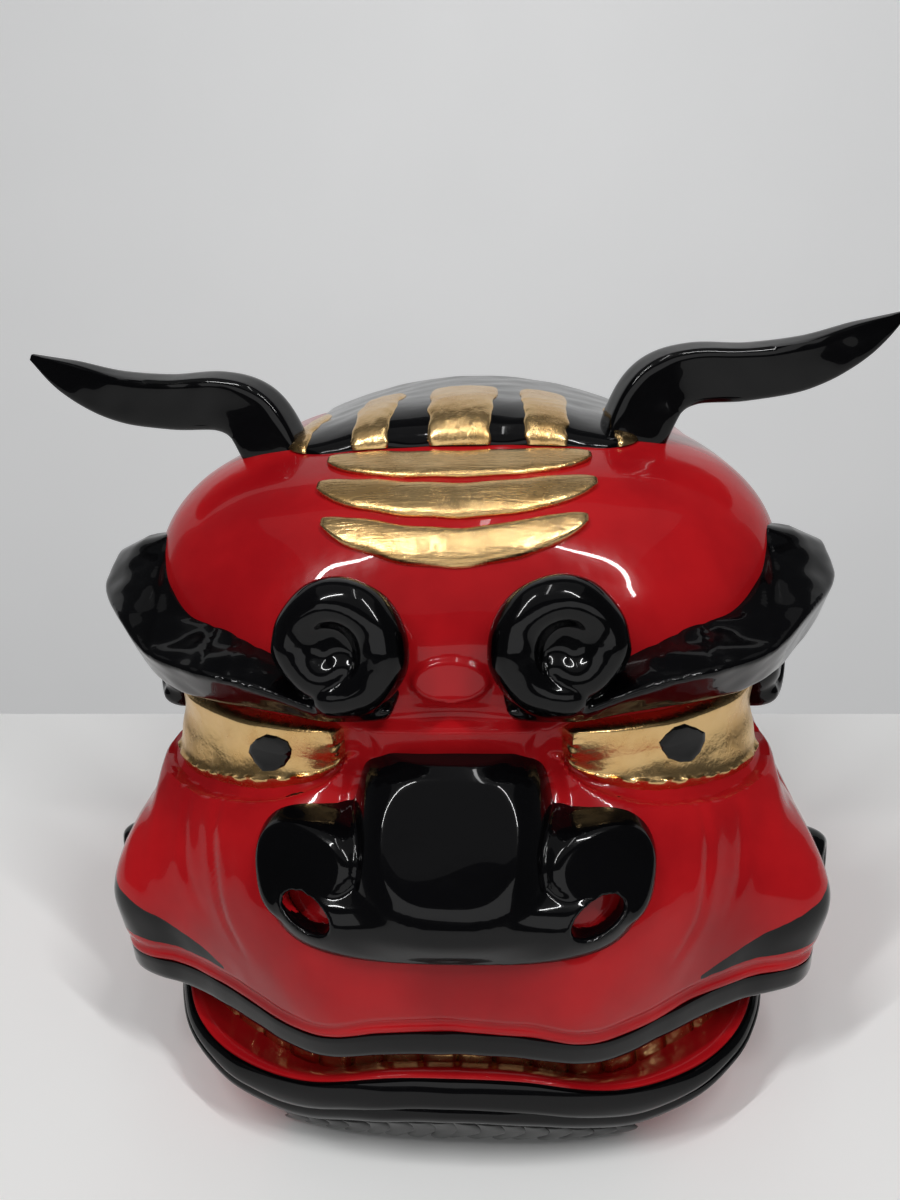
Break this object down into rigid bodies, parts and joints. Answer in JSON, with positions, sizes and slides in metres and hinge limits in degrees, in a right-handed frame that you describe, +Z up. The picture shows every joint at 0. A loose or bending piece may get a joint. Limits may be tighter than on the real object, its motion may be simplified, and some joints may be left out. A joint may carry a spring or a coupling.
{
  "type": "lion dance head",
  "caption": "Hollow carved lion head for a lion dance, lacquered red and black with gold leaf, standing on a lower jaw that hinges at the back to clap the mouth.",
  "frame": {"origin": "middle of the jaw's flat underside, on the surface that the head stands on", "axes": "+Z up, the face looks along -Y, +X runs across the head from ear to ear"},
  "size_m": [0.485, 0.327, 0.3717],
  "materials": {
    "red_lacquer": "deep red gloss lacquer over carved wood",
    "black_lacquer": "black gloss lacquer over carved wood",
    "gold_leaf": "gold leaf over carved wood",
    "bare_wood": "plain wooden peg"
  },
  "bodies": {
    "jaw": {"lower_jaw": "red_lacquer", "lower_lip": "black_lacquer", "chin_beard": "black_lacquer", "lower_teeth": "gold_leaf"},
    "head": {"upper_head": "red_lacquer", "upper_lip": "black_lacquer", "nose": "black_lacquer", "brow_right": "black_lacquer", "brow_left": "black_lacquer", "eye_right": "gold_leaf", "eye_left": "gold_leaf", "pupil_right": "black_lacquer", "pupil_left": "black_lacquer", "temple_curl_right": "black_lacquer", "temple_curl_left": "black_lacquer", "cheek_curl_right": "black_lacquer", "cheek_curl_left": "black_lacquer", "ear_right": "black_lacquer", "ear_left": "black_lacquer", "forehead_bar_1": "gold_leaf", "forehead_bar_2": "gold_leaf", "forehead_bar_3": "gold_leaf", "hair_cap": "black_lacquer", "hair_stripe_1": "gold_leaf", "hair_stripe_2": "gold_leaf", "hair_stripe_3": "gold_leaf", "hair_stripe_4": "gold_leaf", "hair_stripe_5": "gold_leaf", "jaw_peg_right": "bare_wood", "jaw_peg_left": "bare_wood"}
  },
  "joints": [
    {"name": "jaw_hinge", "type": "hinge", "parent": "jaw", "child": "head", "pos_m": [0, 0.105, 0.096], "axis": [-1, 0, 0], "range_deg": [0, 28]}
  ]
}
